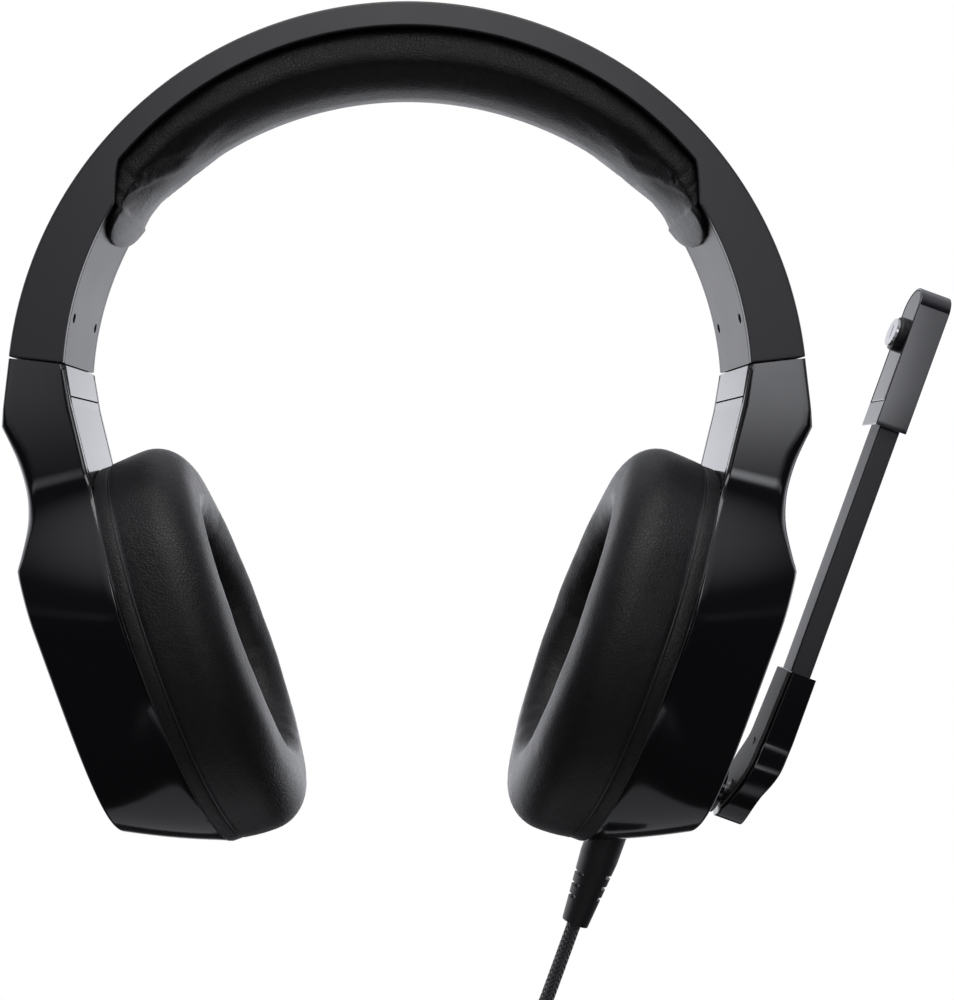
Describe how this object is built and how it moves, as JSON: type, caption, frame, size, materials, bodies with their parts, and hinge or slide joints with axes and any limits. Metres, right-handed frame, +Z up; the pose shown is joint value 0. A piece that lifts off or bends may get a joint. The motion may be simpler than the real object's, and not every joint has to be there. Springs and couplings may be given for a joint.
{
  "type": "gaming headset",
  "caption": "Over-ear gaming headset: padded arched headband, sliding arms in one moulding with the tilted ear cups, leather cushions and a swinging boom microphone, on a cord.",
  "frame": {"origin": "underside of the headband pad at its crown, where it rests on the head or on a stand", "axes": "+Z up, +X towards the wearer's left cup (the one with the microphone and the cord), -Y towards the wearer's front"},
  "size_m": [0.2495, 0.084, 0.3635],
  "materials": {
    "band_satin": "satin moulded plastic, fine texture",
    "gloss_shell": "piano black, glossy",
    "cover_plastic": "semi-gloss black",
    "leatherette": "fine-grained black protein leather",
    "inner_plastic": "matte black",
    "steel": "brushed steel",
    "magnet": "plated",
    "diaphragm": "thin film",
    "mesh": "black open-weave cloth",
    "wire": "matte",
    "board": "circuit board",
    "rubber": "soft matte black",
    "capsule_metal": "satin metal",
    "cord_braid": "braided black sleeve",
    "gold_contact": "gold plated"
  },
  "bodies": {
    "headband": {"detent_spring_left": "steel", "detent_spring_right": "steel", "headband_liner_left": "cover_plastic", "headband_liner_right": "cover_plastic", "headband_pad": "leatherette", "headband_shell": "band_satin", "headband_wire": "wire", "liner_screws": "steel", "pad_carrier": "inner_plastic", "slider_guide_left": "inner_plastic", "slider_guide_right": "inner_plastic", "spring_band": "steel"},
    "left_cup": {"arm_cover_lower_left": "cover_plastic", "arm_cover_upper_left": "cover_plastic", "arm_housing_left": "gloss_shell", "audio_board": "board", "baffle_left": "inner_plastic", "baffle_screws_left": "steel", "cord_coil": "cord_braid", "cord_lead": "cord_braid", "cord_tail": "cord_braid", "cord_tie": "rubber", "cushion_ring_left": "inner_plastic", "driver_diaphragm_left": "diaphragm", "driver_frame_left": "inner_plastic", "driver_magnet_left": "magnet", "ear_cushion_left": "leatherette", "mic_pivot_boss": "gloss_shell", "mic_pivot_pin": "steel", "mic_pivot_washer": "inner_plastic", "plug_body": "rubber", "plug_contact": "gold_contact", "slider_screws_left": "steel", "slider_strip_left": "steel", "speaker_mesh_left": "mesh", "strain_relief": "rubber"},
    "right_cup": {"arm_cover_lower_right": "cover_plastic", "arm_cover_upper_right": "cover_plastic", "arm_housing_right": "gloss_shell", "baffle_right": "inner_plastic", "baffle_screws_right": "steel", "cushion_ring_right": "inner_plastic", "driver_diaphragm_right": "diaphragm", "driver_frame_right": "inner_plastic", "driver_magnet_right": "magnet", "ear_cushion_right": "leatherette", "slider_screws_right": "steel", "slider_strip_right": "steel", "speaker_mesh_right": "mesh"},
    "microphone": {"mic_boom_tube": "band_satin", "mic_capsule": "capsule_metal", "mic_capsule_ring": "rubber", "mic_head_cover": "cover_plastic", "mic_head_housing": "band_satin", "mic_hinge_arm": "gloss_shell", "mic_hinge_cover": "cover_plastic", "mic_hinge_screw": "steel"}
  },
  "joints": [
    {"name": "slider_left", "type": "slide", "parent": "headband", "child": "left_cup", "axis": [0.1132, 0, -0.9936], "range_m": [0, 0.022]},
    {"name": "slider_right", "type": "slide", "parent": "headband", "child": "right_cup", "axis": [-0.1132, 0, -0.9936], "range_m": [0, 0.022]},
    {"name": "microphone_hinge", "type": "hinge", "parent": "left_cup", "child": "microphone", "pos_m": [0.08379, 0, -0.18464], "axis": [0.9397, 0, -0.342], "range_deg": [0, 115]}
  ]
}
